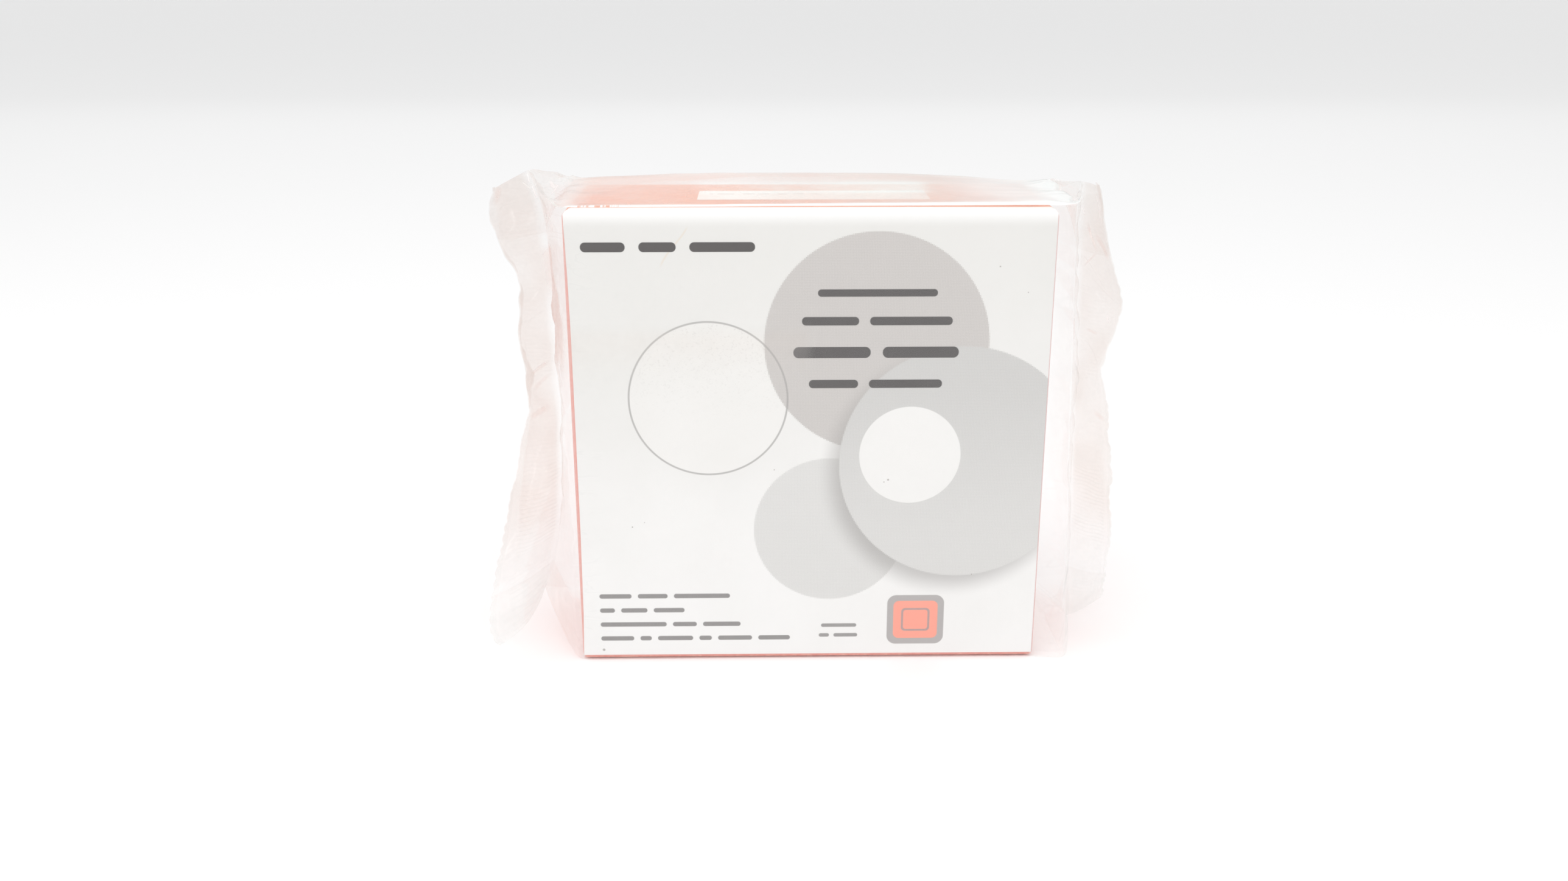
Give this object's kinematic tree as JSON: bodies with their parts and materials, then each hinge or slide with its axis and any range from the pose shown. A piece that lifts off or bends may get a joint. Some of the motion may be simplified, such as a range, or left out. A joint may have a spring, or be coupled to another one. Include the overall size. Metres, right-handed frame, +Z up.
{
  "type": "wrapped microscope slide box",
  "caption": "Unopened paper-covered carton of microscope slides with a white face label, sealed in clear film with a crimped fin at each end, standing on a narrow side.",
  "frame": {"origin": "on the standing surface, below the middle of the carton", "axes": "+X to the right along the label's width, +Y away from the labelled face, +Z up"},
  "size_m": [0.1154, 0.0309, 0.0842],
  "materials": {
    "carton_paper": "satin coral red box paper",
    "label_paper": "glossy white printed paper",
    "strip_paper": "matte white paper",
    "clear_film": "clear glossy film"
  },
  "bodies": {
    "root": {"carton": "carton_paper", "face_label": "label_paper", "lot_label": "strip_paper", "film_wrap": "clear_film"}
  },
  "joints": []
}
